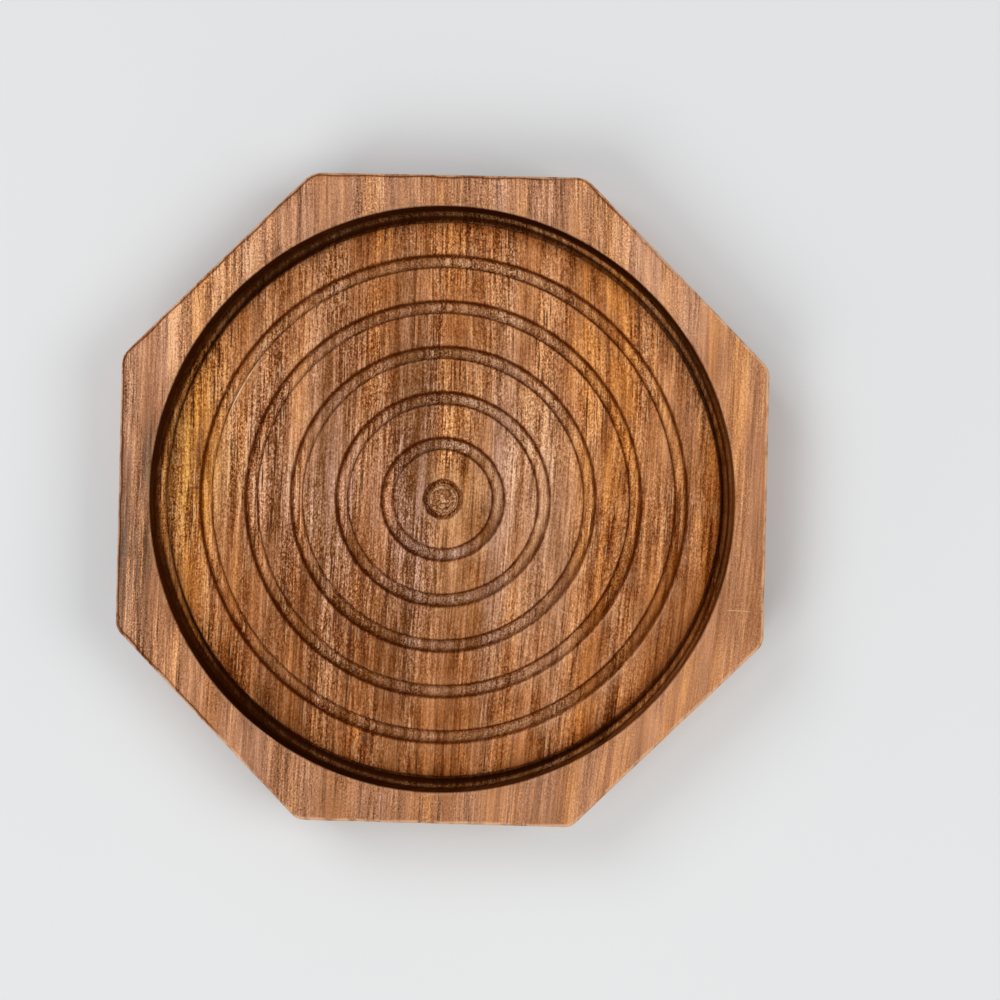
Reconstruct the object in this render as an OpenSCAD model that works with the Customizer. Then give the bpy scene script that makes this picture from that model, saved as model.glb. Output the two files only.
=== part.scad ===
// Octagonal wooden drink coaster with a round recess, ring grooves in the recess
// floor, an end-grain plug in the middle and a cork pad glued in a seat underneath.
// Millimetres. Origin at the middle of the underside, +Z up, wood grain along Y.

/* [Body] */
// Distance between the opposite sides that face X or Y
across_flats = 100; // [96:1:130]
// How much farther out the four slanting sides lie
slant_extra = 0.3; // [0:0.1:2]
// Thickness of the wooden block
body_t = 12; // [11:0.5:20]
// Radius of the eight upright corners
corner_r = 3; // [2:0.5:8]
// Width of the bevel along the top and bottom of the sides
edge_ease = 0.4; // [0.2:0.1:1]

/* [Recess] */
// Diameter of the round recess
recess_d = 90.2; // [80:0.2:92]
// Depth of the recess floor below the rim
recess_depth = 4.5; // [3:0.25:5]
// Width of the bevel round the mouth of the recess
lip_ease = 0.3; // [0.1:0.1:0.6]

/* [Grooves] */
// Radius of the round-bottomed ring grooves
groove_r = 0.95; // [0.5:0.05:1.2]
// Distance from one ring groove to the next
groove_pitch = 7.1; // [6:0.1:7.5]
// Number of ring grooves, from the foot of the wall inwards
groove_count = 6; // [1:1:6]

/* [Centre] */
// Radius of the hole in the middle of the floor
plug_hole_r = 2.2; // [1.5:0.1:3]
// Depth of that hole below the recess floor
plug_hole_depth = 4; // [2:0.25:4]
// Glue gap all round the plug
plug_gap = 0.05; // [0.02:0.01:0.1]
// Half the width of the small groove round the plug
plug_groove_r = 0.5; // [0.3:0.05:0.7]
// Bevel round the top of the plug
plug_bevel = 0.25; // [0.1:0.05:0.4]

/* [Pad] */
// Diameter of the seat turned in the underside
seat_d = 80.4; // [60:0.2:86]
// Depth of that seat
seat_depth = 1.2; // [0.6:0.1:1.6]
// Gap between the pad's edge and the side of the seat
pad_gap = 0.2; // [0.1:0.05:0.5]
// Thickness of the cork pad
pad_t = 2; // [1.8:0.1:3]
// Bevel round the lower edge of the pad
pad_bevel = 0.3; // [0.1:0.1:0.6]
// Thickness of the film of glue over the pad
film_t = 0.2; // [0.1:0.05:0.3]

/* [Hidden] */
$fn = 128;
flat_r = across_flats / 2;
recess_r = recess_d / 2;
// Heights above the surface that the coaster stands on
seat_z = pad_t + film_t;
body_z = seat_z - seat_depth;
rim_z = body_z + body_t;
floor_z = rim_z - recess_depth;
pad_r = seat_d / 2 - pad_gap;
// Angle at which the round corners meet the sides
corner_blend = 5;
// The small groove starts at the edge of the plug
plug_groove_at = plug_hole_r - 0.1 + plug_groove_r;

// Distance of side i from the middle: even sides face X or Y, odd ones slant
function side_at(i) = flat_r + (i % 2) * slant_extra;
function turned(a) = [cos(a), sin(a)];
// Half the straight length of side i, and the centre of the corner after it
function half_side(i) = sqrt(2) * (side_at(i + 1) - corner_r) - (side_at(i) - corner_r);
function corner(i) = (side_at(i) - corner_r) * turned(45 * i)
    + half_side(i) * turned(45 * i + 90);

// Octagon with its corners rounded: at each corner, what lies outside an upright
// cylinder is cut off. The cylinder meets both sides at a slight angle.
module octagon_block(h) {
    difference() {
        linear_extrude(h)
            polygon([for (i = [0:7])
                corner(i) + corner_r / cos(22.5) * turned(45 * i + 22.5)]);
        for (i = [0:7])
            translate([corner(i)[0], corner(i)[1], -1])
                rotate([0, 0, 45 * i + 22.5])
                    difference() {
                        translate([corner_r * cos(22.5), -2 * corner_r, 0])
                            cube([corner_r, 4 * corner_r, h + 2]);
                        translate([0, 0, -1])
                            cylinder(r = corner_r / cos(corner_blend), h = h + 4);
                    }
    }
}

// Bevels along the sides of the octagon, with its upper face at height 0
module octagon_bevel(e) {
    for (i = [0:7])
        rotate([0, 0, 45 * i])
            translate([0, flat_r, 0])
                rotate([90, 0, 0])
                    linear_extrude(2 * flat_r)
                        polygon([[side_at(i) - e - 0.5, 0.5],
                                 [side_at(i) + 0.5, -e - 0.5],
                                 [side_at(i) + 0.5, 0.5]]);
}

// The round recess with its ring grooves, as one turned section
module recess_tool() {
    rotate_extrude() {
        translate([0, floor_z]) square([recess_r, recess_depth + 1]);
        for (i = [0:groove_count - 1])
            translate([recess_r - groove_r - i * groove_pitch, floor_z])
                circle(r = groove_r);
        translate([plug_groove_at, floor_z]) circle(r = plug_groove_r);
    }
}

module coaster_body() {
    color([0.45, 0.25, 0.13])
    difference() {
        translate([0, 0, body_z]) octagon_block(body_t);
        recess_tool();
        // Bevel round the mouth of the recess
        translate([0, 0, rim_z - lip_ease])
            cylinder(r1 = recess_r, r2 = recess_r + 2 * lip_ease, h = 2 * lip_ease);
        // Hole for the plug
        translate([0, 0, floor_z - plug_hole_depth])
            cylinder(r = plug_hole_r, h = plug_hole_depth + 1);
        // Seat for the pad
        translate([0, 0, body_z - 1]) cylinder(d = seat_d, h = seat_depth + 1);
        // Bevels along the sides
        translate([0, 0, rim_z]) octagon_bevel(edge_ease);
        translate([0, 0, body_z]) mirror([0, 0, 1]) octagon_bevel(edge_ease);
    }
}

module centre_plug() {
    r = plug_hole_r - plug_gap;
    color([0.52, 0.32, 0.19])
    translate([0, 0, floor_z - plug_hole_depth]) {
        cylinder(r = r, h = plug_hole_depth - plug_bevel);
        translate([0, 0, plug_hole_depth - plug_bevel])
            cylinder(r1 = r, r2 = r - plug_bevel, h = plug_bevel);
    }
}

module pad_adhesive() {
    color([0.75, 0.66, 0.45])
    translate([0, 0, pad_t]) cylinder(r = pad_r, h = film_t);
}

module base_pad() {
    color([0.68, 0.49, 0.31]) {
        cylinder(r1 = pad_r - pad_bevel, r2 = pad_r, h = pad_bevel);
        translate([0, 0, pad_bevel]) cylinder(r = pad_r, h = pad_t - pad_bevel);
    }
}

coaster_body();
centre_plug();
pad_adhesive();
base_pad();
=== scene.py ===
import math

import bpy
import numpy as np
from mathutils import Matrix, Vector


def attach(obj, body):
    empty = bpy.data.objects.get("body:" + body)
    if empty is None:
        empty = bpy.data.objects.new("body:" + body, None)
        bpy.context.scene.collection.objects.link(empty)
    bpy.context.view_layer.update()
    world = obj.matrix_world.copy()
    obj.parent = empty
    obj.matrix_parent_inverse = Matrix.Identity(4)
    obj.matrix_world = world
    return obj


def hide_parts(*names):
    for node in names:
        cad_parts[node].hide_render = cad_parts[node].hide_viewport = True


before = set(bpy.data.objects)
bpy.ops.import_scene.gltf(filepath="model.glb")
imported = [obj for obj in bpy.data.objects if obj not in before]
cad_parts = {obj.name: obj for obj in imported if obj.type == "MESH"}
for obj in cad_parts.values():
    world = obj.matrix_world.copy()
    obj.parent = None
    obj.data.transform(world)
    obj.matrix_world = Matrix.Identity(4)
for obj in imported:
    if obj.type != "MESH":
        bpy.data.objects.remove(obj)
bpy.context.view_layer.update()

# Sizes in millimetres, in the frame of the part: +Z up, wood grain along Y.
MM = 0.001
FLAT, SLANT = 50.0, 50.3          # distance of the sides that face X or Y, and of the slanting ones
RIM_Z, FLOOR_Z, BASE_Z, SEAT_Z = 13.0, 8.5, 1.0, 2.2
WALL_R, SEAT_R, HOLE_R, HOLE_Z = 45.1, 40.2, 2.2, 4.5
GROOVE_R, PITCH, GROOVES = 0.95, 7.1, 6
PAD_R, PAD_T = 40.0, 2.0
PLUG_R = 2.15


# ---------------------------------------------------------------- shapes

def waves(theta, seed, amp, low, high, n=14):
    """Small smooth ups and downs round a closed circle."""
    r = np.random.default_rng(seed)
    out = np.zeros_like(theta)
    for k, p, a in zip(r.integers(low, high + 1, n), r.uniform(0, 2 * np.pi, n), r.normal(size=n)):
        out += a * np.cos(k * theta + p)
    return amp * out / math.sqrt(n / 2)


def bump_at(theta, at_deg, width_deg):
    """A smooth bump of height 1 at one angle."""
    d = (theta - math.radians(at_deg) + np.pi) % (2 * np.pi) - np.pi
    return np.exp(-((d / math.radians(width_deg)) ** 2))


def side_at(i):
    return SLANT if i % 2 else FLAT


# Each corner was rounded by hand, so the radii differ a little.
CORNER_R = [3.2, 3.6, 4.2, 3.9, 2.9, 2.8, 2.6, 3.0]


class Octagon:
    """The outline as a distance from the middle for each angle, with rounded corners, set in by e."""

    def __init__(self):
        self.corners = []
        for i in range(8):
            a, b = math.radians(45 * i), math.radians(45 * (i + 1))
            rho = CORNER_R[i]
            d, e = side_at(i) - rho, side_at(i + 1) - rho
            s = math.sin(b - a)
            c = np.array([(d * math.sin(b) - e * math.sin(a)) / s, (e * math.cos(a) - d * math.cos(b)) / s])
            t0 = c + rho * np.array([math.cos(a), math.sin(a)])
            t1 = c + rho * np.array([math.cos(b), math.sin(b)])
            self.corners.append((c, rho, math.atan2(t0[1], t0[0]), math.atan2(t1[1], t1[0]), math.atan2(c[1], c[0])))

    def angles(self, near=22, between=48):
        """Directions for the mesh: close together round each corner, even along each side."""
        at = [k[4] % (2 * np.pi) for k in self.corners]
        w = math.radians(2.4)
        out = []
        for i in range(8):
            lo, hi = at[i], at[(i + 1) % 8]
            if hi < lo:
                hi += 2 * np.pi
            out += list(lo + np.linspace(-w, w, near, endpoint=False))
            out += list(np.linspace(lo + w, hi - w, between, endpoint=False))
        return np.sort(np.array(out) % (2 * np.pi))

    def distance(self, theta, e):
        e = np.broadcast_to(np.asarray(e, float), theta.shape)
        ux, uy = np.cos(theta), np.sin(theta)
        out = np.full(theta.shape, 1e9)
        for i in range(8):
            a = math.radians(45 * i)
            proj = np.cos(theta - a)
            d = np.where(proj > 0.3, (side_at(i) - e) / np.maximum(proj, 0.3), 1e9)
            out = np.minimum(out, d)
        for c, rho, t0, t1, mid in self.corners:
            turn = (theta - t0) % (2 * np.pi)
            span = (t1 - t0) % (2 * np.pi)
            inside = turn <= span
            cu = c[0] * ux + c[1] * uy
            root = cu * cu - c @ c + np.maximum(rho - e, 0.05) ** 2
            arc = cu + np.sqrt(np.maximum(root, 0))
            out = np.where(inside & (root > 0), np.minimum(out, arc), out)
        return out


def mesh_object(name, points, faces, attributes=None):
    mesh = bpy.data.meshes.new(name)
    mesh.from_pydata((np.asarray(points) * MM).tolist(), [], faces)
    for key, values in (attributes or {}).items():
        a = mesh.attributes.new(key, "FLOAT", "POINT")
        a.data.foreach_set("value", np.asarray(values, np.float32))
    mesh.validate()
    mesh.polygons.foreach_set("use_smooth", [True] * len(mesh.polygons))
    # How far each point's surface cuts across the grain, which runs along Y
    normals = np.empty(len(mesh.vertices) * 3, np.float32)
    mesh.vertices.foreach_get("normal", normals)
    cut = mesh.attributes.new("across_grain", "FLOAT", "POINT")
    cut.data.foreach_set("value", np.abs(normals[1::3]))
    ob = bpy.data.objects.new(name, mesh)
    bpy.context.scene.collection.objects.link(ob)
    return ob


def from_rings(name, rings, first, last, keys):
    """One closed mesh: rings of equal length, each joined to the next, closed by a point at both ends.
    A ring is (points, {attribute: number or array})."""
    n = len(rings[0][0])
    points = [np.array([first[0]])] + [r[0] for r in rings] + [np.array([last[0]])]
    values = {k: [np.array([first[1].get(k, 0.0)])] for k in keys}
    for _, given in rings:
        for k in keys:
            values[k].append(np.broadcast_to(np.asarray(given.get(k, 0.0), float), (n,)))
    for k in keys:
        values[k].append(np.array([last[1].get(k, 0.0)]))
    faces = []
    for j in range(n):
        faces.append((0, 1 + j, 1 + (j + 1) % n))
    for k in range(len(rings) - 1):
        a, b = 1 + k * n, 1 + (k + 1) * n
        for j in range(n):
            q = (j + 1) % n
            faces.append((a + j, b + j, b + q, a + q))
    a, end = 1 + (len(rings) - 1) * n, 1 + len(rings) * n
    for j in range(n):
        faces.append((a + j, end, a + (j + 1) % n))
    return mesh_object(name, np.concatenate(points), faces, {k: np.concatenate(v) for k, v in values.items()})


def make_body():
    oct_ = Octagon()
    th = oct_.angles()
    c, s = np.cos(th), np.sin(th)
    rings = []

    def ring(r, z, **given):
        r, z = np.broadcast_to(r, th.shape), np.broadcast_to(z, th.shape)
        rings.append((np.stack([r * c, r * s, z], 1), given))

    # Hole for the plug, then the small groove round it
    ring(HOLE_R, HOLE_Z, grime=1)
    ring(HOLE_R, 7.9, grime=1)
    g = 0.5
    mid = HOLE_R - 0.1 + g
    uneven = waves(th, 17, 0.025, 2, 11)
    # The groove round the hole gets dirt and painted shade, its wall darkest on the left, and it is lighter towards 312
    # and 10 degrees.
    black = bump_at(th, 195, 75)
    spared = 0.62 * bump_at(th, 312, 44) + 0.25 * bump_at(th, 10, 34)
    for k, (a, dark, far) in enumerate(((-143, 0.0, 0), (-125, 0.2, 0), (-105, 0.95, 0), (-85, 1.0, 0.2), (-65, 0.98, 0.5), (-45, 0.85, 0.8), (-28, 0.66, 1), (-12, 0.52, 1))):
        soil = waves(th, 180 + k, 0.10, 3, 26)
        ring(mid + g * math.cos(math.radians(a)) + uneven * (a + 143) / 143, FLOOR_Z + g * math.sin(math.radians(a)),
             grime=np.clip(dark * (1 - far * spared) + soil, 0, 1), worn=0.5 if a < -130 else 0.0,
             wall=(0, 0.0, 0.5, 0.45, 0.3, 0.3, 0.25, 0.2)[k] * (1 if k < 4 else black))
    soil = waves(th, 18, 0.12, 2, 20)
    ring(mid + g + 0.04 + uneven, FLOOR_Z - 0.04, grime=np.clip(0.36 * (1 - spared) + soil, 0, 1))
    ring(mid + g + 0.14 + uneven, FLOOR_Z, grime=np.clip(0.14 * (1 - spared) + soil, 0, 1), worn=0.25)
    ring(mid + g + 0.34, FLOOR_Z, worn=0.3)
    ring(mid + g + 0.7, FLOOR_Z, worn=0.1)

    # Ring grooves, from the middle out. Edges are torn a little where the cutter crossed the grain,
    # and old oil, dirt and painted shade darken their upper edges, most of all the outer one.
    f, fo = 0.12, 0.2
    across = np.abs(s)
    # The edges are darker on some sides, with dirt and painted shade on the sides turned from the light, and so is the
    # groove at the foot of the wall.
    outer_dirt = (0.97 - 0.50 * bump_at(th, 302, 44) - 0.06 * bump_at(th, 24, 16) + 0.08 * bump_at(th, 356, 16) - 0.07 * bump_at(th, 108, 26)
                  - 0.04 * bump_at(th, 234, 30))
    # Painted shade on the outer walls of the grooves, most at 222 and 90 degrees.
    darkest = 0.28 * bump_at(th, 222, 28) + 0.10 * bump_at(th, 90, 40)
    inner_dirt = (0.79 - 0.24 * bump_at(th, 136, 30) - 0.06 * bump_at(th, 174, 24) + 0.10 * bump_at(th, 310, 32) + 0.05 * bump_at(th, 48, 22)
                  - 0.36 * bump_at(th, 240, 38) - 0.26 * bump_at(th, 102, 30))
    # On one side the grooves get painted shade up their outer half and on their bottoms, and a painted highlight on
    # their outer edge.
    shaded, edged, pooled = bump_at(th, 321, 33), bump_at(th, 318, 34), 0.24 * bump_at(th, 334, 14)
    # Painted highlight in the foot groove, strongest at 57, 180 and 310 degrees.
    rubbed = (0.34 + 0.37 * bump_at(th, 57, 26) + 0.66 * bump_at(th, 180, 30) - 0.26 * bump_at(th, 134, 20) - 0.36 * bump_at(th, 225, 14)
              + 0.16 * bump_at(th, 270, 18) + 0.38 * bump_at(th, 310, 26) + waves(th, 19, 0.03, 3, 30) + waves(th, 20, 0.025, 30, 120))
    # Painted light on the wall and on the outer side of the foot groove, where the light falls on them.
    bare = (0.04 + 0.56 * bump_at(th, 312, 28) + 0.34 * bump_at(th, 0, 26) + 0.12 * bump_at(th, 185, 30) + 0.10 * bump_at(th, 112, 16)
            + 0.18 * bump_at(th, 276, 18) - 0.04 * bump_at(th, 228, 16))
    softer = np.clip(1.15 * bump_at(th, 45, 38) + bump_at(th, 180, 34) + 0.8 * bump_at(th, 342, 28) + 0.4 * bump_at(th, 315, 16), 0, 1)
    wide = 21 + 15 * bump_at(th, 180, 36) + 5 * bump_at(th, 40, 28) + 10 * bump_at(th, 310, 30) + 8 * bump_at(th, 0, 22)
    twice = np.cos(2 * th)
    for i in reversed(range(GROOVES)):
        rc = WALL_R - GROOVE_R - i * PITCH
        jag = waves(th, 40 + i, 0.02, 60, 170) * (0.35 + 0.65 * across)
        jag2 = waves(th, 60 + i, 0.02, 60, 170) * (0.35 + 0.65 * across)
        spot = waves(th, 140 + i, 0.07, 5, 60)
        g = GROOVE_R + waves(th, 80 + i, 0.015, 2, 9)
        prev = rc - PITCH + GROOVE_R
        ring((max(prev, 3.2) + rc - GROOVE_R) / 2, FLOOR_Z)
        if i:
            ring(rc - g - f - 0.42, FLOOR_Z, worn=0.06)
            ring(rc - g - f - 0.2, FLOOR_Z, grime=0.05, worn=0.12)
            # A torn edge on one side of the outermost of them
            torn = bump_at(th, 152, 6) if i == 1 else 0.0
            ring(rc - g - f - 0.05, FLOOR_Z, grime=0.26 * inner_dirt * (1 - torn), worn=2.4 * torn)
            ring(rc - g - f * 0.29 + jag, FLOOR_Z - f * 0.29, grime=np.clip(0.85 * inner_dirt * (1 - torn) + spot, 0, 1), worn=2.0 * torn)
            ring(rc - g + jag * 0.6, FLOOR_Z - f, grime=np.clip(inner_dirt + spot, 0, 1))
            arc = ((-163, 1.0, 0, 0.0, 0.0), (-148, 0.92, 0, 0.25, 0.0), (-130, 0.36, 0, 0.75, 0.0), (-110, 0.06, 0, 1.0, 0.10), (-88, 0.0, 0, 1.0, 0.22),
                   (-66, 0.0, 0.08, 1.0, 0.36), (-46, 0.0, 0.52, 0.7, 0.26), (-30, 0.0, 0.95, 0.2, 0.06), (-15, 0.0, 1.0, 0.0, 0.0))
            for a, near, far, open_, side in arc:
                ring(rc + g * math.cos(math.radians(a)), FLOOR_Z + g * math.sin(math.radians(a)),
                     grime=np.clip(near * inner_dirt + far * outer_dirt + side * shaded + open_ * pooled + spot * (near + far > 0.2), 0, 1), groove=open_,
                     wall=darkest * np.clip(far * 2 - 1, 0, 1))
            ring(rc + g - jag2 * 0.6, FLOOR_Z - fo, grime=np.clip(outer_dirt + spot, 0, 1), wall=darkest)
            ring(rc + g + fo * 0.29 - jag2, FLOOR_Z - fo * 0.29, grime=np.clip(outer_dirt + spot, 0, 1), wall=0.6 * darkest)
            ring(rc + g + fo, FLOOR_Z, grime=np.clip((0.66 - 0.2 * edged) * outer_dirt + spot, 0, 1))
            ring(rc + g + fo + 0.16, FLOOR_Z, grime=0.10, worn=0.1 + 0.5 * edged)
            ring(rc + g + fo + 0.45, FLOOR_Z, grime=0.0, worn=0.1 + 0.1 * edged)
        else:
            # Dirt and painted shade lie in the inner corner and up the wall; between them the bottom is painted light
            # in places, as a lit stripe with highlights.
            # The dark line and the lit stripe wander across the groove.
            # Painted shade on the land next to the wall, most at 76 and 324 degrees.
            soiled = bump_at(th, 76, 22) + 0.9 * bump_at(th, 324, 32)
            late = bump_at(th, 214, 20)
            for back, dark, more in ((1.9, 0.0, 0.06), (1.2, 0.05, 0.22), (0.6, 0.12, 0.40)):
                ring(rc - g - f - back, FLOOR_Z, grime=dark + more * soiled)
            ring(rc - g - f - 0.05, FLOOR_Z, grime=0.34 + 0.26 * soiled - 0.24 * late)
            ring(rc - g - f * 0.29 + jag, FLOOR_Z - f * 0.29, grime=0.62 - 0.1 * softer - 0.25 * late)
            # Where the groove runs across the fibres its stripe is painted greyer and dimmer, as a faint grey
            # highlight.
            ashen = bump_at(th, 104, 44) + 0.95 * bump_at(th, 260, 32)
            dim = 0.88 - 0.60 * bump_at(th, 60, 18) - 0.40 * bump_at(th, 275, 26) + 0.10 * bump_at(th, 134, 16)
            lit = 0.09 + bump_at(th, 180, 26) + 0.32 * bump_at(th, 306, 30) + 0.20 * bump_at(th, 52, 30)
            line_at = -134 - 15 * twice
            stripe_at = -82 - 22 * twice + 6 * np.cos(th) + 10 * bump_at(th, 120, 30) + 12 * bump_at(th, 268, 45) - 6 * bump_at(th, 45, 15)
            for a in (-163, -151, -140, -129, -118, -107, -95, -83, -70, -57, -44, -30, -15):
                before = np.clip((line_at - a) / 16, 0, 1)
                line = np.exp(-(((a - line_at) / 18) ** 2))
                stripe = np.minimum(1.25 * np.exp(-(((a - stripe_at) / wide) ** 2)), 1.0)
                outer = np.clip((a - stripe_at - 0.85 * wide) / 30, 0, 1)
                clean = np.clip(np.maximum(rubbed + stripe - 1, 0) + outer * bare, 0, 1)
                ash = ashen * stripe
                soot = (1 - before) * (1 - 0.95 * softer * line) * 0.9 * (1 - clean) ** 2
                ring(rc + g * math.cos(math.radians(a)), FLOOR_Z + g * math.sin(math.radians(a)),
                     grime=(1 - 0.7 * before) * (1 - 0.5 * softer * line) * (1 - clean) * (1 - 0.85 * ash),
                     wall=soot + (dim - soot) * ash, bright=clean * lit * (1 - 0.6 * ash), groove=np.maximum(clean * across ** 2, ash))

    # Wall of the recess and its eased lip; the wall is painted dark as shade, and lighter where painted light falls on
    # it
    for z, up in ((0.05, 1.0), (0.9, 1.0), (2.0, 0.97), (3.1, 1.0)):
        ring(WALL_R + waves(th, 21, 0.012, 2, 8), FLOOR_Z + z, grime=1 - bare, wall=up * (1 - bare) ** 2)
    lip = 0.27 + waves(th, 22, 0.03, 3, 40)
    for q, dark, up, worn, top in ((0, 1.0, 1.0, 0.0, 0.0), (28, 0.8, 0.8, 0.0, 1.0), (58, 0.45, 0.3, 0.2, 1.0), (90, 0.2, 0.0, 0.3, 1.0)):
        q = math.radians(q)
        ring(WALL_R + lip * (1 - math.cos(q)), RIM_Z - lip * (1 - math.sin(q)), grime=dark * (1 - bare), wall=up * (1 - bare) ** 2, worn=worn, rim=top)
    ring(WALL_R + lip + 0.5, RIM_Z, grime=0.10, rim=1.0)

    # Flat of the rim, blending from the circle to the octagon
    ease = np.clip(0.36 + waves(th, 23, 0.05, 4, 60), 0.22, 0.6)
    nicks = [(53.4, 0.35, 0.34), (48.8, 0.25, 0.28), (61.0, 0.2, 0.16), (128.0, 0.4, 0.14),
             (201.5, 0.3, 0.2), (279.0, 0.5, 0.12), (331.0, 0.25, 0.18), (17.0, 0.3, 0.12)]
    for at, width, deep in nicks:
        ease = ease + deep * bump_at(th, at, width)
    side = waves(th, 24, 0.02, 3, 24)
    # Painted shade darkens the edge along the back and left, away from the light, and the edge is painted pale as a
    # highlight elsewhere.
    stained = np.clip(0.5 + 1.6 * np.cos(th - math.radians(140)) + waves(th, 26, 0.15, 3, 30), 0, 1)
    inner = WALL_R + lip + 0.5
    outer = oct_.distance(th, ease + 0.02)
    for t in (0.15, 0.5, 0.88):
        ring(inner + (outer - inner) * t, RIM_Z, rim=1.0)
    ring(oct_.distance(th, 0.02 + ease + 0.26), RIM_Z, rim=1.0, grime=0.15 * stained)
    ring(oct_.distance(th, 0.02 + ease + 0.12), RIM_Z, rim=1.0, grime=0.85 * stained, worn=0.3 * (1 - stained))
    for p, line, pale in ((0, 0.9, 0.9), (22, 0.3, 1.0), (45, 0.1, 1.0), (68, 0.1, 1.0), (90, 0.3, 0.6)):
        q = math.radians(p)
        ring(oct_.distance(th, 0.02 + ease * (1 - math.sin(q)) + np.abs(side) * math.sin(q)),
             RIM_Z - ease * (1 - math.cos(q)), rim=1.0, worn=pale * (1 - line * stained), grime=line * stained)
    # Sides
    for z in (10.2, 7.0, 3.8):
        ring(oct_.distance(th, 0.02 + np.abs(side) + 0.01 * abs(z - 7.0) / 3), z, rim=1.0, sides=1.0)
    low = np.clip(0.36 + waves(th, 25, 0.05, 4, 60), 0.22, 0.6)
    for p in (90, 68, 45, 22, 0):
        q = math.radians(p)
        ring(oct_.distance(th, 0.02 + low * (1 - math.sin(q)) + np.abs(side) * math.sin(q)),
             BASE_Z + low * (1 - math.cos(q)), rim=1.0, sides=1.0, worn=(0.1, 0.5, 0.8, 0.5, 0.1)[(0, 22, 45, 68, 90).index(p)])
    # Underside, and the seat for the pad
    outer = oct_.distance(th, low + 0.02)
    inner = SEAT_R + 0.25
    for t in (0.1, 0.5, 0.9):
        ring(outer + (inner - outer) * t, BASE_Z, rim=1.0, under=1.0)
    ring(inner, BASE_Z, rim=1.0, under=1.0)
    ring(SEAT_R + 0.07, BASE_Z + 0.07, grime=0.5, under=1.0)
    ring(SEAT_R, BASE_Z + 0.25, grime=0.8, under=1.0)
    ring(SEAT_R, SEAT_Z, grime=0.8, under=1.0)
    for r in (30.0, 15.0, 4.0):
        ring(r, SEAT_Z, under=1.0)
    return from_rings("coaster_wood", rings, ((0, 0, HOLE_Z), {"grime": 1}), ((0, 0, SEAT_Z), {"under": 1}),
                      ("grime", "wall", "worn", "rim", "groove", "bright", "sides", "under"))


def make_plug():
    n = 96
    th = np.linspace(0, 2 * np.pi, n, endpoint=False)
    c, s = np.cos(th), np.sin(th)
    r0 = np.random.default_rng(5)
    rings = []
    # A faint hollow ring with painted shade inside, and a pale edge painted as a highlight
    hollow = np.clip(1.1 - 0.75 * bump_at(th, 0, 22) - 0.7 * bump_at(th, 252, 26) + waves(th, 91, 0.15, 2, 12), 0, 1)
    rubbed = np.clip(0.52 + 0.8 * bump_at(th, 345, 28) + 0.2 * bump_at(th, 150, 20) - 0.4 * bump_at(th, 30, 18) + waves(th, 92, 0.2, 2, 14), 0, 1)
    for r in np.linspace(0.15, 1.8, 16):
        ring_at = math.exp(-(((r - 1.5) / 0.36) ** 2))
        z = FLOOR_Z - 0.04 - 0.07 * (r / 2) ** 2 - 0.05 * hollow * ring_at + 0.012 * r0.normal(size=n)
        rings.append((np.stack([r * c, r * s, z], 1), {"dim": np.maximum(hollow * ring_at, 0.35 * math.exp(-((r / 0.45) ** 2))), "pale": rubbed * np.clip((r - 1.78) / 0.2, 0, 1)}))
    for r, z, e, pale in ((1.92, 8.37, 0.0, 1.0), (2.02, 8.33, 0.0, 1.0), (2.09, 8.26, 0.0, 0.9), (2.13, 8.15, 0.1, 0.8), (PLUG_R, 8.0, 1.0, 0), (PLUG_R, 6.5, 1.0, 0),
                          (PLUG_R, 4.6, 1.0, 0), (2.05, 4.52, 1.0, 0), (1.0, 4.52, 1.0, 0)):
        w = waves(th, 9, 0.015, 3, 20) if r < 2.12 and z > 5 else 0 * th
        rings.append((np.stack([(r + w) * c, (r + w) * s, np.full(n, z)], 1), {"edge": e, "pale": pale * rubbed}))
    return from_rings("centre_plug_end_grain", rings, ((0, 0, FLOOR_Z - 0.04), {}), ((0, 0, 4.52), {"edge": 1}), ("edge", "pale", "dim"))


def make_pad():
    """Cork disc: granules stand a little proud of each other on its lower face and along its edge."""
    n = 320
    th = np.linspace(0, 2 * np.pi, n, endpoint=False)
    c, s = np.cos(th), np.sin(th)
    gen = np.random.default_rng(11)
    cells = gen.uniform(-41, 41, (1500, 2))
    height = gen.uniform(0.0, 1.0, 1500)

    def relief(x, y):
        out = np.empty(len(x))
        for k in range(0, len(x), 2000):
            d = (x[k:k + 2000, None] - cells[:, 0]) ** 2 + (y[k:k + 2000, None] - cells[:, 1]) ** 2
            order = np.argpartition(d, 1, axis=1)[:, :2]
            d2 = np.sqrt(np.take_along_axis(d, order, 1))
            near = np.where(d2[:, 0] < d2[:, 1], order[:, 0], order[:, 1])
            gap = np.abs(d2[:, 0] - d2[:, 1])
            out[k:k + 2000] = 0.05 * height[near] * np.clip(gap / 0.5, 0, 1)
        return out

    rings = []
    for r in (PAD_R - 0.15, PAD_R - 12.0, 12.0)[::-1]:
        rings.append((np.stack([r * c, r * s, np.full(n, PAD_T)], 1), {}))
    edge = waves(th, 31, 0.03, 30, 140)
    for r, z in ((PAD_R - 0.04, PAD_T - 0.06), (PAD_R, PAD_T - 0.3), (PAD_R, 1.2), (PAD_R, 0.75), (PAD_R - 0.02, 0.45), (PAD_R - 0.12, 0.2), (PAD_R - 0.3, 0.06)):
        rr = np.minimum(r + edge * (1.0 if z < 1.9 else 0.0) - 0.03, PAD_R)
        rings.append((np.stack([rr * c, rr * s, np.full(n, z)], 1), {}))
    for r in np.concatenate([[PAD_R - 0.55], np.linspace(PAD_R - 1.2, 1.2, 46)]):
        x, y = r * c, r * s
        rings.append((np.stack([x, y, 0.056 - relief(x, y)], 1), {}))
    return from_rings("cork_pad", rings, ((0, 0, PAD_T), {}), ((0, 0, 0.02), {}), ())


# ---------------------------------------------------------------- materials

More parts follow.
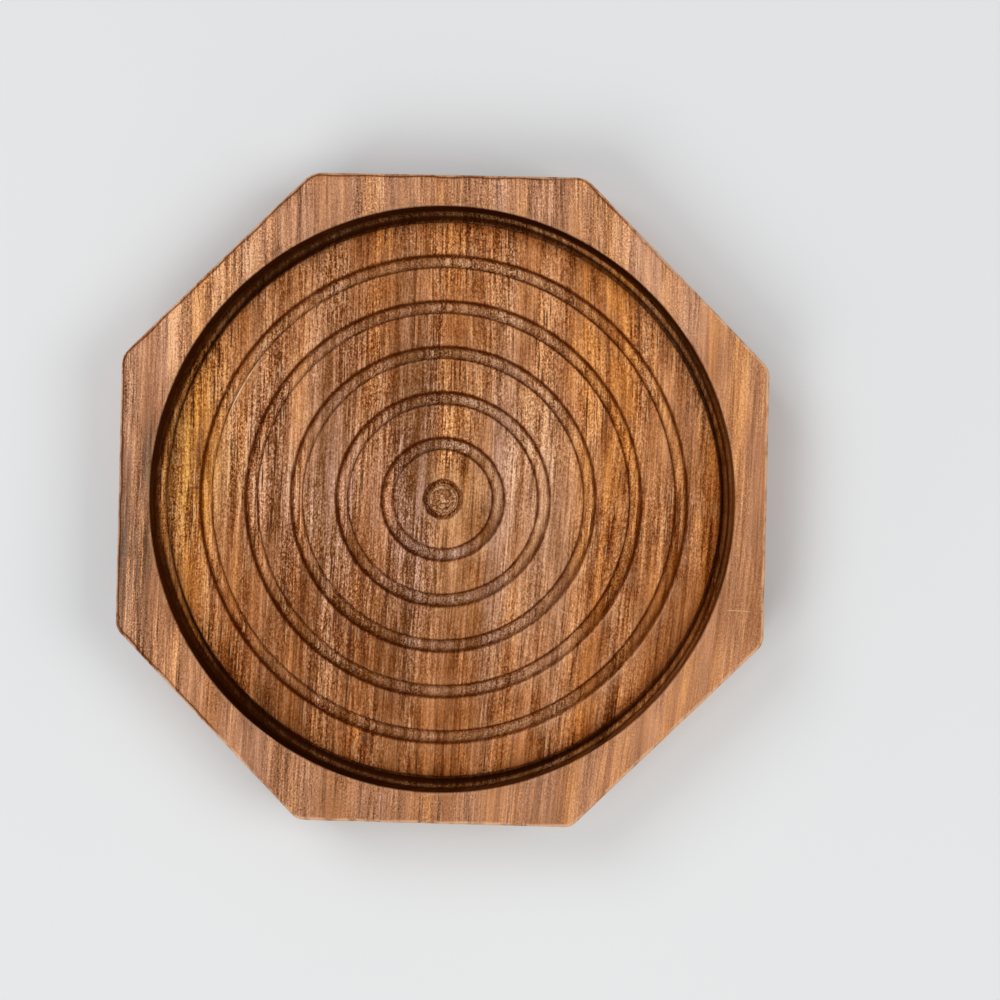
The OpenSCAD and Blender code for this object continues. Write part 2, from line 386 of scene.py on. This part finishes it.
def lin(r, g, b, gloss=0.0):
    """sRGB numbers of 0 to 255 as a linear colour, less what the gloss adds to it."""
    out = []
    for v in (r, g, b):
        v = v / 255
        v = v / 12.92 if v <= 0.04045 else ((v + 0.055) / 1.055) ** 2.4
        out.append(max(v - gloss, 0.12 * v))
    return tuple(out) + (1.0,)


class Graph:
    """Short names for the nodes of one material."""

    def __init__(self, name):
        self.mat = bpy.data.materials.new(name)
        self.mat.use_nodes = True
        self.tree = self.mat.node_tree
        self.tree.nodes.clear()
        self.bsdf = self.new("ShaderNodeBsdfPrincipled")
        out = self.new("ShaderNodeOutputMaterial")
        self.tree.links.new(self.bsdf.outputs[0], out.inputs[0])

    def new(self, kind, **props):
        n = self.tree.nodes.new(kind)
        for k, v in props.items():
            setattr(n, k, v)
        return n

    def put(self, socket, value):
        if isinstance(value, bpy.types.NodeSocket):
            self.tree.links.new(value, socket)
        else:
            socket.default_value = value

    def math(self, op, a, b=0.0, c=0.0, clamp=False):
        n = self.new("ShaderNodeMath", operation=op, use_clamp=clamp)
        for i, v in enumerate((a, b, c)):
            self.put(n.inputs[i], v)
        return n.outputs[0]

    def add(self, *terms):
        out = terms[0]
        for t in terms[1:]:
            out = self.math("ADD", out, t)
        return out

    def mul(self, a, b, clamp=False):
        return self.math("MULTIPLY", a, b, clamp=clamp)

    def vec(self, x, y, z):
        n = self.new("ShaderNodeCombineXYZ")
        for i, v in enumerate((x, y, z)):
            self.put(n.inputs[i], v)
        return n.outputs[0]

    def split(self, v):
        n = self.new("ShaderNodeSeparateXYZ")
        self.put(n.inputs[0], v)
        return n.outputs[0], n.outputs[1], n.outputs[2]

    def scaled(self, v, by):
        n = self.new("ShaderNodeVectorMath", operation="MULTIPLY")
        self.put(n.inputs[0], v)
        self.put(n.inputs[1], by)
        return n.outputs[0]

    def millimetres(self):
        tc = self.new("ShaderNodeTexCoord")
        return self.scaled(tc.outputs["Object"], (1000.0, 1000.0, 1000.0))

    def noise(self, v, detail=2.0, rough=0.5, distortion=0.0, scale=1.0):
        n = self.new("ShaderNodeTexNoise")
        self.put(n.inputs["Vector"], v)
        n.inputs["Scale"].default_value = scale
        n.inputs["Detail"].default_value = detail
        n.inputs["Roughness"].default_value = rough
        n.inputs["Distortion"].default_value = distortion
        return n.outputs[0]

    def cells(self, v, feature="F1", out="Distance", random=1.0):
        n = self.new("ShaderNodeTexVoronoi", feature=feature)
        self.put(n.inputs["Vector"], v)
        n.inputs["Scale"].default_value = 1.0
        n.inputs["Randomness"].default_value = random
        return n.outputs[out]

    def span(self, v, lo, hi, to_lo=0.0, to_hi=1.0, smooth=True):
        n = self.new("ShaderNodeMapRange", interpolation_type="SMOOTHSTEP" if smooth else "LINEAR", clamp=True)
        self.put(n.inputs[0], v)
        for i, x in enumerate((lo, hi, to_lo, to_hi)):
            n.inputs[i + 1].default_value = x
        return n.outputs[0]

    def ramp(self, v, stops):
        n = self.new("ShaderNodeValToRGB")
        self.put(n.inputs[0], v)
        e = n.color_ramp.elements
        while len(e) < len(stops):
            e.new(0.5)
        for i, (p, col) in enumerate(stops):
            e[i].position = p
            e[i].color = col
        return n.outputs[0]

    def mix(self, fac, a, b, blend="MIX"):
        n = self.new("ShaderNodeMix", data_type="RGBA", blend_type=blend)
        n.clamp_factor = True
        self.put(n.inputs[0], fac)
        self.put(n.inputs[6], a)
        self.put(n.inputs[7], b)
        return n.outputs[2]

    def mix_value(self, fac, a, b):
        n = self.new("ShaderNodeMix", data_type="FLOAT")
        n.clamp_factor = True
        self.put(n.inputs[0], fac)
        self.put(n.inputs[2], a)
        self.put(n.inputs[3], b)
        return n.outputs[0]

    def attribute(self, name):
        n = self.new("ShaderNodeAttribute", attribute_name=name)
        return n.outputs["Fac"]

    def centred(self, v, k):
        """k times (v - 0.5)."""
        return self.math("MULTIPLY_ADD", v, k, -0.5 * k)

    def bump(self, height, strength, distance_mm):
        n = self.new("ShaderNodeBump")
        n.inputs["Strength"].default_value = strength
        n.inputs["Distance"].default_value = distance_mm * MM
        self.put(n.inputs["Height"], height)
        return n.outputs[0]

    def shade(self, **sockets):
        for k, v in sockets.items():
            self.put(self.bsdf.inputs[k.replace("_", " ")], v)


def tones(gloss, *stops):
    return [(at, lin(*rgb, gloss)) for at, rgb in stops]


# Tones of the wood from dark to light
FLOOR_TONES = tones(0.010, (0.0, (84, 38, 13)), (0.10, (96, 46, 18)), (0.20, (113, 60, 26)), (0.31, (131, 76, 40)), (0.405, (147, 91, 52)),
                    (0.51, (165, 108, 68)), (0.615, (184, 125, 83)), (0.72, (200, 140, 96)), (0.88, (224, 166, 118)), (1.0, (240, 186, 138)))
RIM_TONES = tones(0.016, (0.0, (98, 62, 42)), (0.10, (112, 74, 51)), (0.20, (131, 89, 63)), (0.335, (156, 106, 75)), (0.43, (169, 116, 83)),
                  (0.525, (182, 128, 93)), (0.63, (196, 140, 102)), (0.73, (209, 152, 112)), (0.88, (228, 172, 129)), (1.0, (242, 190, 146)))


# Broad light and dark places in the wood of the floor and of the rim: strength, middle, half-widths
FLOOR_FIGURE = [(-0.24, -17, -32, 26, 19), (-0.27, -7, 22, 26, 16), (-0.27, 34, -47, 26, 47), (-0.26, -17, -14, 14, 12), (0.27, 44, 26, 12, 21),
                (0.18, 19, -5, 5, 50), (0.18, -27, 24, 25, 10), (0.20, 8, 14, 5, 13), (0.27, 36, -29, 9, 10), (-0.30, 1, 13, 3, 12), (-0.12, -4, 2, 2, 12)]
RIM_FIGURE = [(0.30, -42, 24, 7, 12), (0.25, 25, 30, 22, 20), (-0.10, -15, -46, 6, 7), (0.17, -11, 50, 5, 40), (0.30, 22, -15, 22, 21),
              (-0.21, 48, -16, 5, 7), (0.17, -28, 45, 5, 7), (0.10, -39, -30, 5, 6)]


def hardwood():
    g = Graph("oiled_hardwood")
    p = g.millimetres()
    x, y, z = g.split(p)
    grime, wall, worn, rim = g.attribute("grime"), g.attribute("wall"), g.attribute("worn"), g.attribute("rim")
    across = g.attribute("across_grain")
    flat = g.math("SUBTRACT", 1.0, rim)
    # Growth layers stand nearly upright, lean with the grain and bend a little.
    bend = g.centred(g.noise(g.scaled(p, (0.02, 0.012, 0.03)), detail=1.0), 5.0)
    sway = g.centred(g.noise(g.scaled(p, (0.13, 0.02, 0.05)), detail=1.0), 1.3)
    right = g.math("MAXIMUM", x, 0.0)
    lower = g.math("MINIMUM", y, 0.0)
    lean = g.mul(g.mul(right, 3.3e-5), g.mul(lower, lower))
    u = g.add(x, g.mul(y, -0.02), lean, bend, sway, g.mul(z, 0.35))

    def at(ku, ky, kz, shift):
        return g.vec(g.math("MULTIPLY_ADD", u, ku, shift), g.mul(y, ky), g.mul(z, kz))

    def layer(ku, ky, kz, detail, rough, shift):
        return g.noise(at(ku, ky, kz, shift), detail=detail, rough=rough)

    def fibre_cells(ku, ky, kz, shift):
        """Long thin cells side by side, each with two numbers of its own."""
        n = g.new("ShaderNodeTexVoronoi", feature="F1")
        g.put(n.inputs["Vector"], at(ku, ky, kz, shift))
        n.inputs["Scale"].default_value = 1.0
        c = g.new("ShaderNodeSeparateColor")
        g.put(c.inputs[0], n.outputs["Color"])
        return n.outputs["Distance"], c.outputs[0], c.outputs[1]

    # Growth layers are sheets, so they hardly change up and down; fibres and vessels are round in section.
    bands = layer(0.30, 0.012, 0.04, 1.0, 0.55, 7.7)
    mottle = layer(0.36, 0.11, 0.10, 1.0, 0.5, 14.0)
    streaks = layer(1.1, 0.05, 0.12, 2.0, 0.6, 1.3)
    flecks = layer(3.3, 1.4, 3.3, 1.0, 0.6, 8.4)
    specks = layer(5.0, 3.4, 5.0, 0.0, 0.5, 19.0)
    hue = layer(0.26, 0.010, 0.04, 1.0, 0.5, 11.0)
    _, stave, _ = fibre_cells(0.75, 0.035, 0.10, 61.0)
    _, fibre, tint = fibre_cells(2.7, 0.09, 2.7, 5.0)
    _, thread, _ = fibre_cells(4.8, 0.14, 4.8, 2.0)
    # Thin dark lines between growth layers
    veins = g.span(g.math("ABSOLUTE", g.centred(layer(0.33, 0.011, 0.05, 1.0, 0.5, 23.0), 1.0)), 0.016, 0.0)

    # Open vessels, cut lengthwise into short dark lines; not every cell has one
    def vessels(ku, ky, reach, share, shift):
        d, has, _ = fibre_cells(ku, ky, ku, shift)
        return g.mul(g.span(d, reach, reach * 0.5), g.span(has, share + 0.06, share - 0.06))
    pores = g.math("MAXIMUM", vessels(2.1, 0.13, 0.30, 0.7, 31.0), vessels(1.3, 0.07, 0.20, 0.6, 47.0))
    silver = vessels(2.5, 0.2, 0.34, 0.45, 71.0)

    # The fine figure is livelier at the upper left than at the lower right, and on the rim the bands show most on the left.
    diagonal = g.add(g.mul(x, -0.29 * 0.7 / 45), g.mul(y, 0.29 * 0.7 / 45), 0.97)
    calm = g.mul(diagonal, g.mix_value(rim, 1.0, g.span(x, 5.0, 42.0, 0.76, 0.62)))
    banded = g.mix_value(rim, 1.0, g.span(x, -36.0, -12.0, 1.12, 0.62))

    def patch(cx, cy, rx, ry):
        dx = g.math("MULTIPLY_ADD", x, 1 / rx, -cx / rx)
        dy = g.math("MULTIPLY_ADD", y, 1 / ry, -cy / ry)
        return g.math("EXPONENT", g.mul(g.add(g.mul(dx, dx), g.mul(dy, dy)), -1.0))
    # A golden patch on the left of the floor, painted as the wood's sheen.
    golden = g.mul(patch(-39.5, 5.0, 5.5, 15.0), flat)
    mauve = g.mul(patch(-9.0, 0.0, 9.0, 16.0), flat)

    def figure(table):
        return g.add(*[g.mul(patch(*place), much) for much, *place in table])

    fine = g.add(g.centred(fibre, 0.38), g.centred(thread, 0.34), g.centred(flecks, 0.72), g.centred(specks, 0.94))
    coarse = g.add(g.centred(bands, 0.44), g.centred(streaks, 0.70), g.centred(stave, 0.22), g.centred(mottle, 0.44), g.mul(veins, -0.14))
    # Some places are smooth and some lively.
    lively = g.span(layer(0.2, 0.05, 0.2, 1.0, 0.5, 53.0), 0.32, 0.68, 0.55, 1.32)
    calm = g.mul(g.mul(calm, lively), g.math("MULTIPLY_ADD", patch(15, -24, 11, 12), -0.22, 1.0))
    tone = g.add(g.mul(coarse, banded), g.mul(fine, calm), g.math("MULTIPLY_ADD", rim, -0.147, 0.625))
    tone = g.add(tone, g.mul(flat, figure(FLOOR_FIGURE)), g.mul(rim, figure(RIM_FIGURE)))

    low = g.ramp(g.math("MULTIPLY_ADD", tone, 0.8, 0.094), FLOOR_TONES)
    # The middle is greyer and paler, and the colour deepens towards the wall.
    radius = g.math("SQRT", g.add(g.mul(x, x), g.mul(y, y)))
    fade = g.ramp(g.mul(radius, 1 / 46.0), [(0.08, (0.54, 0.64, 0.82, 1)), (0.26, (0.53, 0.595, 0.74, 1)), (0.42, (0.51, 0.55, 0.63, 1)),
                                           (0.58, (0.49, 0.485, 0.5, 1)), (0.74, (0.49, 0.465, 0.43, 1)), (0.92, (0.46, 0.41, 0.34, 1))])
    low = g.mix(1.0, low, g.mix(1.0, fade, (2.0, 2.0, 2.0, 1.0), "MULTIPLY"), "MULTIPLY")
    low = g.mix(golden, low, g.mix(1.0, low, (1.03, 1.11, 0.72, 1), "MULTIPLY"))
    low = g.mix(mauve, low, g.mix(1.0, low, (0.93, 0.93, 1.12, 1), "MULTIPLY"))
    high = g.ramp(g.math("MULTIPLY_ADD", tone, 0.95, 0.01), RIM_TONES)
    colour = g.mix(rim, low, high)
    # Some layers are more mauve, some more golden.
    warm = g.add(g.centred(g.span(hue, 0.3, 0.7, 0.0, 1.0, smooth=False), 0.68), g.centred(tint, 0.10), g.mul(coarse, 0.8))
    drift = g.mul(flat, g.add(g.mul(patch(30, 4, 13, 30), 0.26), g.mul(patch(-26, 0, 13, 12), -0.16), g.mul(patch(0, 24, 12, 12), -0.14),
                              g.mul(patch(-2, -27, 16, 14), -0.16), g.mul(patch(-33, 1, 4, 15), -0.26), g.mul(patch(14, -2, 7, 10), -0.18), g.mul(patch(20, 22, 12, 11), 0.18)))
    warm = g.add(drift, g.mul(warm, g.math("MULTIPLY_ADD", rim, -0.28, 1.0)), g.mul(rim, g.span(x, 15.0, 42.0, -0.02, 0.08)), 0.5)
    x2 = g.mul(x, x)
    along = g.math("DIVIDE", x2, g.add(x2, g.mul(y, y), 0.01))
    groove = g.attribute("groove")
    crossing = g.mul(groove, g.span(along, 0.6, 0.1))
    warm = g.mix_value(g.mul(crossing, 0.75), warm, 0.46)
    colour = g.mix(1.0, colour, g.mix(warm, (0.90, 1.03, 1.42, 1), (1.10, 0.97, 0.62, 1)), "MULTIPLY")
    # Pale fibres and dark pores
    colour = g.mix(g.mul(g.mul(silver, calm), g.math("MULTIPLY_ADD", rim, -0.1, 0.34)), colour, lin(232, 186, 138))
    bright = g.attribute("bright")
    open_pores = g.mul(g.mul(pores, calm), g.math("MULTIPLY_ADD", bright, -0.8, 1.0))
    colour = g.mix(g.mul(open_pores, g.math("MULTIPLY_ADD", rim, -0.2, 0.72)), colour, (0.055, 0.014, 0.003, 1))
    # Open groove bottoms: greyer and speckled where they cross the fibres; where they run along them they are painted
    # brighter as a highlight, most on the left
    speckle = g.noise(g.scaled(p, (2.9, 2.9, 2.9)), detail=1.0, rough=0.6)
    dust = g.ramp(speckle, [(0.3, (0.28, 0.33, 0.46, 1)), (0.5, (0.455, 0.545, 0.77, 1)), (0.7, (0.62, 0.72, 0.90, 1))])
    dusty = g.mix(1.0, colour, g.mix(1.0, dust, g.mix(g.span(y, -10.0, 12.0), (2.0, 2.0, 2.0, 1), (2.0, 1.94, 1.74, 1)), "MULTIPLY"), "MULTIPLY")
    colour = g.mix(crossing, colour, dusty)
    colour = g.mix(g.mul(groove, g.span(along, 0.3, 0.6)), colour, g.mix(1.0, colour, (0.97, 1.03, 1.06, 1), "MULTIPLY"))
    # Painted highlight on the groove bottoms that run along the fibres.
    rubbed = g.mix(g.span(x, 4.0, -14.0), (1.36, 1.34, 1.18, 1), (1.42, 1.42, 1.40, 1))
    colour = g.mix(g.mul(groove, g.span(along, 0.6, 0.97)), colour, g.mix(1.0, colour, rubbed, "MULTIPLY"))
    # Painted light and highlight on the stripe at the foot of the wall
    colour = g.mix(bright, colour, g.mix(1.0, colour, (3.4, 3.75, 3.7, 1), "MULTIPLY"))
    # Where a surface cuts across the fibres it is darker and greyer, less so in the grooves.
    cut = g.mul(across, g.math("MULTIPLY_ADD", groove, -0.8, 1.0))
    colour = g.mix(g.mul(cut, 0.7), colour, g.mix(1.0, colour, (0.62, 0.60, 0.60, 1), "MULTIPLY"))
    # Dark mineral streaks in one place on the rim
    veined = g.span(layer(1.6, 0.07, 1.0, 2.0, 0.6, 41.0), 0.42, 0.62)
    mineral = g.mul(g.add(g.mul(patch(-47.0, -12.0, 2.6, 17.0), veined), patch(-45.6, 5.0, 0.7, 7.0), g.mul(patch(-49.6, -8.0, 0.9, 16.0), 0.9)), rim)
    colour = g.mix(g.mul(mineral, g.span(flecks, 0.36, 0.62, 0.4, 0.8)), colour, (0.095, 0.066, 0.052, 1))
    # Dark corners of the grooves and the wall: dirt together with painted shade
    rough_edge = g.span(g.noise(g.scaled(p, (2.4, 0.9, 2.4)), detail=1.0, rough=0.6), 0.3, 0.62, 0.86, 1.0)
    # Round the plug the dirt and painted shade are crumbly.
    crumbs = g.noise(g.scaled(p, (4.2, 4.2, 4.2)), detail=1.0, rough=0.6)
    crumbly = g.mix_value(g.span(radius, 3.9, 3.3), 1.0, g.span(crumbs, 0.36, 0.53, 0.36, 1.0))
    dirt = g.mul(g.mul(grime, crumbly), g.mul(rough_edge, 0.97))
    colour = g.mix(dirt, colour, g.mix(1.0, colour, (0.50, 0.34, 0.18, 1), "MULTIPLY"))
    colour = g.mix(g.mul(dirt, g.math("MULTIPLY_ADD", dirt, 0.6, 0.3)), colour, (0.076, 0.0130, 0.0010, 1))
    # Painted shade: the walls of the recess and the grooves are darkened nearly to black.
    colour = g.mix(g.mul(g.mul(wall, crumbly), 0.9), colour, (0.020, 0.0046, 0.0009, 1))
    # Edges rubbed pale, and on the lit sides painted pale as a highlight
    rub = g.mul(worn, g.span(g.noise(g.scaled(p, (0.5, 0.35, 0.5)), detail=2.0, rough=0.6), 0.30, 0.60))
    colour = g.mix(g.mul(rub, 0.66), colour, lin(226, 180, 142))

    # Fine scratches
    def scratch(x0, y0, x1, y1, half):
        n = math.hypot(x1 - x0, y1 - y0)
        ex, ey = (x1 - x0) / n, (y1 - y0) / n
        along = g.add(g.mul(x, ex), g.mul(y, ey), -(x0 * ex + y0 * ey))
        off = g.math("ABSOLUTE", g.add(g.mul(x, -ey), g.mul(y, ex), x0 * ey - y0 * ex))
        inside = g.mul(g.span(along, -0.1, 0.5), g.span(along, n + 0.1, n - 0.5))
        return g.mul(inside, g.span(off, half, half * 0.3))
    marks = g.math("MAXIMUM", scratch(44.3, -15.95, 48.0, -16.1, 0.1), scratch(18.5, -16.7, 19.9, -17.5, 0.1))
    colour = g.mix(g.mul(marks, 0.5), colour, lin(232, 190, 150))

    wear = g.noise(g.scaled(p, (0.16, 0.10, 0.16)), detail=2.0, rough=0.6)
    rough = g.add(g.span(wear, 0.3, 0.7, 0.36, 0.48), g.mul(rim, 0.10), g.mul(pores, 0.15), g.centred(fibre, 0.08), g.mul(grime, -0.04))
    height = g.add(g.centred(streaks, 0.8), g.centred(flecks, 1.0), g.mul(pores, -0.5))
    g.shade(Base_Color=colour, Roughness=rough, Normal=g.bump(height, 0.35, 0.05))
    # Where dirt and painted shade lie the wood is dull, and so is the edge of the hole.
    dull = g.math("MAXIMUM", g.math("MAXIMUM", grime, wall), g.span(radius, 3.6, 3.0))
    g.put(g.bsdf.inputs["Specular IOR Level"], g.math("MULTIPLY_ADD", dull, -0.50, 0.24, clamp=True))
    g.bsdf.inputs["Specular IOR Level"].default_value = 0.18
    g.bsdf.inputs["Specular Tint"].default_value = (1.0, 0.66, 0.38, 1.0)
    return g.mat


def end_grain():
    g = Graph("end_grain_plug")
    p = g.millimetres()
    x, y, z = g.split(p)
    flat = g.vec(x, y, g.mul(z, 0.15))

    def grains(k):
        """Small cells, each with a number of its own."""
        n = g.new("ShaderNodeTexVoronoi", feature="F1")
        g.put(n.inputs["Vector"], g.scaled(flat, (k, k, k)))
        n.inputs["Scale"].default_value = 1.0
        c = g.new("ShaderNodeSeparateColor")
        g.put(c.inputs[0], n.outputs["Color"])
        return c.outputs[0]
    coarse, fine = grains(2.6), grains(5.2)
    speck = g.noise(g.scaled(flat, (5.0, 5.0, 5.0)), detail=3.0, rough=0.65)
    blotch = g.noise(g.scaled(flat, (1.3, 1.3, 1.3)), detail=2.0)
    dots = g.span(g.cells(g.scaled(flat, (3.4, 3.4, 3.4))), 0.30, 0.14)
    edge = g.attribute("edge")
    tone = g.add(g.centred(coarse, 0.62), g.centred(fine, 0.58), g.centred(speck, 0.9), g.centred(blotch, 0.4), 0.54)
    colour = g.ramp(tone, tones(0.02, (0.0, (84, 48, 26)), (0.3, (126, 80, 50)), (0.52, (156, 107, 75)), (0.75, (188, 138, 104)), (1.0, (226, 186, 152))))
    colour = g.mix(g.attribute("dim"), colour, g.mix(1.0, colour, (0.62, 0.53, 0.42, 1), "MULTIPLY"))
    colour = g.mix(g.mul(g.attribute("pale"), 0.62), colour, g.mix(fine, lin(150, 100, 66), lin(232, 186, 146)))
    colour = g.mix(g.mul(dots, 0.45), colour, (0.07, 0.026, 0.012, 1))
    colour = g.mix(g.mul(edge, 0.8), colour, (0.05, 0.015, 0.004, 1))
    height = g.add(g.centred(speck, 1.0), g.mul(dots, -1.0))
    g.shade(Base_Color=colour, Roughness=g.span(speck, 0.3, 0.7, 0.45, 0.65), Normal=g.bump(height, 0.4, 0.06))
    # The steep edge is dull.
    radius = g.math("SQRT", g.add(g.mul(x, x), g.mul(y, y)))
    g.put(g.bsdf.inputs["Specular IOR Level"], g.span(radius, 1.9, 1.6, 0.0, 0.08))
    g.bsdf.inputs["Specular IOR Level"].default_value = 0.08
    g.bsdf.inputs["Specular Tint"].default_value = (1.0, 0.66, 0.38, 1.0)
    return g.mat


def cork():
    g = Graph("pressed_cork")
    p = g.millimetres()
    wob = g.centred(g.noise(g.scaled(p, (0.9, 0.9, 0.9)), detail=2.0), 0.9)
    x, y, z = g.split(p)
    ragged = g.centred(g.noise(g.scaled(p, (2.6, 2.6, 2.6)), detail=2.0), 0.7)

    def granules(k):
        """Ragged lumps, each with a number of its own, and the seams between them."""
        q = g.scaled(g.vec(g.add(x, wob, ragged), g.add(y, g.mul(wob, -0.8), g.mul(ragged, -0.9)), z), (k, k, 1.2 * k))
        n = g.new("ShaderNodeTexVoronoi", feature="F1")
        g.put(n.inputs["Vector"], q)
        n.inputs["Scale"].default_value = 1.0
        c = g.new("ShaderNodeSeparateColor")
        g.put(c.inputs[0], n.outputs["Color"])
        return c.outputs[0], g.span(g.cells(q, feature="DISTANCE_TO_EDGE"), 0.08, 0.0)
    # Large and small lumps lie mixed.
    big, big_seam = granules(0.45)
    small, small_seam = granules(1.0)
    which = g.span(g.noise(g.scaled(p, (0.5, 0.5, 0.5)), detail=2.0), 0.46, 0.54)
    tint, seam = g.mix_value(which, big, small), g.mix_value(which, big_seam, small_seam)
    grain = g.noise(g.scaled(p, (4.0, 4.0, 4.0)), detail=3.0, rough=0.6)
    pits = g.span(g.cells(g.scaled(p, (1.1, 1.1, 1.1))), 0.2, 0.08)
    tone = g.add(g.mul(tint, 0.62), g.centred(grain, 0.8), 0.19)
    colour = g.ramp(tone, [(0.0, lin(110, 74, 45)), (0.3, lin(158, 116, 76)), (0.6, lin(186, 146, 102)), (0.85, lin(206, 170, 126)), (1.0, lin(222, 190, 148))])
    colour = g.mix(g.mul(seam, 0.5), colour, lin(104, 68, 42))
    colour = g.mix(g.mul(pits, 0.65), colour, lin(72, 44, 26))
    height = g.add(g.centred(grain, 0.8), g.mul(seam, -0.7), g.mul(pits, -1.2))
    g.shade(Base_Color=colour, Roughness=g.span(grain, 0.3, 0.7, 0.78, 0.95), Normal=g.bump(height, 0.6, 0.15))
    return g.mat


def glue():
    g = Graph("dried_glue")
    p = g.millimetres()
    drops = g.noise(g.scaled(p, (0.35, 0.35, 0.35)), detail=3.0, rough=0.6)
    fine = g.noise(g.scaled(p, (2.2, 2.2, 2.2)), detail=2.0)
    colour = g.ramp(g.add(g.mul(drops, 0.8), g.centred(fine, 0.3), 0.1), [(0.25, lin(176, 148, 96)), (0.55, lin(206, 184, 132)), (0.85, lin(226, 210, 168))])
    g.shade(Base_Color=colour, Roughness=g.span(fine, 0.3, 0.7, 0.35, 0.6), Normal=g.bump(drops, 0.3, 0.1))
    return g.mat


def studio_floor():
    g = Graph("pale_floor")
    p = g.millimetres()
    soft = g.noise(g.scaled(p, (0.004, 0.004, 0.004)), detail=2.0)
    g.shade(Base_Color=g.ramp(soft, [(0.3, (0.70, 0.71, 0.715, 1)), (0.7, (0.74, 0.745, 0.745, 1))]), Roughness=g.span(soft, 0.3, 0.7, 0.82, 0.9))
    return g.mat


# ---------------------------------------------------------------- the part

def keep_flats(ob):
    m = ob.modifiers.new("flats", "WEIGHTED_NORMAL")
    m.mode = "FACE_AREA"
    m.weight = 60


body = make_body()
body.data.materials.append(hardwood())
keep_flats(body)
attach(body, "root")
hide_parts("coaster_body")

plug = make_plug()
plug.data.materials.append(end_grain())
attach(plug, "root")
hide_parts("centre_plug")

pad = make_pad()
pad.data.materials.append(cork())
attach(pad, "root")
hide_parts("base_pad")

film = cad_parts["pad_adhesive"]
film.data.materials.clear()
film.data.materials.append(glue())


# ---------------------------------------------------------------- floor, light and camera

def plane(name, half, z):
    mesh = bpy.data.meshes.new(name)
    mesh.from_pydata([(-half, -half, z), (half, -half, z), (half, half, z), (-half, half, z)], [], [(0, 1, 2, 3)])
    ob = bpy.data.objects.new(name, mesh)
    bpy.context.scene.collection.objects.link(ob)
    return ob


floor = plane("studio_floor", 3.0, 0.0)
floor.data.materials.append(studio_floor())


def soft_light(name, at, toward, size, watts, colour=(1, 1, 1)):
    data = bpy.data.lights.new(name, "AREA")
    data.shape = "SQUARE"
    data.size = size
    data.energy = watts
    data.color = colour
    ob = bpy.data.objects.new(name, data)
    ob.location = at
    ob.rotation_euler = (Vector(toward) - Vector(at)).to_track_quat("-Z", "Y").to_euler()
    bpy.context.scene.collection.objects.link(ob)
    return ob


def around(azimuth, elevation, distance):
    a, e = math.radians(azimuth), math.radians(elevation)
    return (distance * math.cos(e) * math.cos(a), distance * math.cos(e) * math.sin(a), distance * math.sin(e))


soft_light("right", around(-4, 48, 1.0), (0, 0, 0), 0.55, 3.6, (1.0, 0.99, 0.97))
soft_light("left_front", around(234, 48, 1.0), (0, 0, 0), 0.55, 3.7, (1.0, 0.99, 0.97))
soft_light("left_back", around(138, 48, 1.0), (0, 0, 0), 0.55, 3.0, (0.98, 0.99, 1.0))

world = bpy.data.worlds.new("studio")
world.use_nodes = True
back = world.node_tree.nodes["Background"]
back.inputs[0].default_value = (0.93, 0.96, 1.0, 1.0)
back.inputs[1].default_value = 0.40
scene = bpy.context.scene
scene.world = world
scene.view_settings.view_transform = "Standard"
scene.view_settings.look = "None"
scene.view_settings.exposure = 0.0
scene.view_settings.gamma = 1.0

# Camera: nearly straight down, a little to the right of the part, on a long lens.
cam_data = bpy.data.cameras.new("camera")
cam_data.sensor_fit = "HORIZONTAL"
cam_data.sensor_width = 36.0
cam_data.lens = 36.0 * 2.245
cam_data.clip_start = 0.01
cam_data.clip_end = 20.0
cam = bpy.data.objects.new("camera", cam_data)
at = Vector((20.3, 0.1, RIM_Z + 345.0)) * MM
aim = Vector((9.08, 0.1, RIM_Z)) * MM
roll = math.radians(1.35)
forward = (aim - at).normalized()
up = Vector((-math.sin(roll), math.cos(roll), 0.0))
right = forward.cross(up).normalized()
up = right.cross(forward)
turn = Matrix((right, up, -forward)).transposed()
cam.matrix_world = Matrix.Translation(at) @ turn.to_4x4()
scene.collection.objects.link(cam)
scene.camera = cam
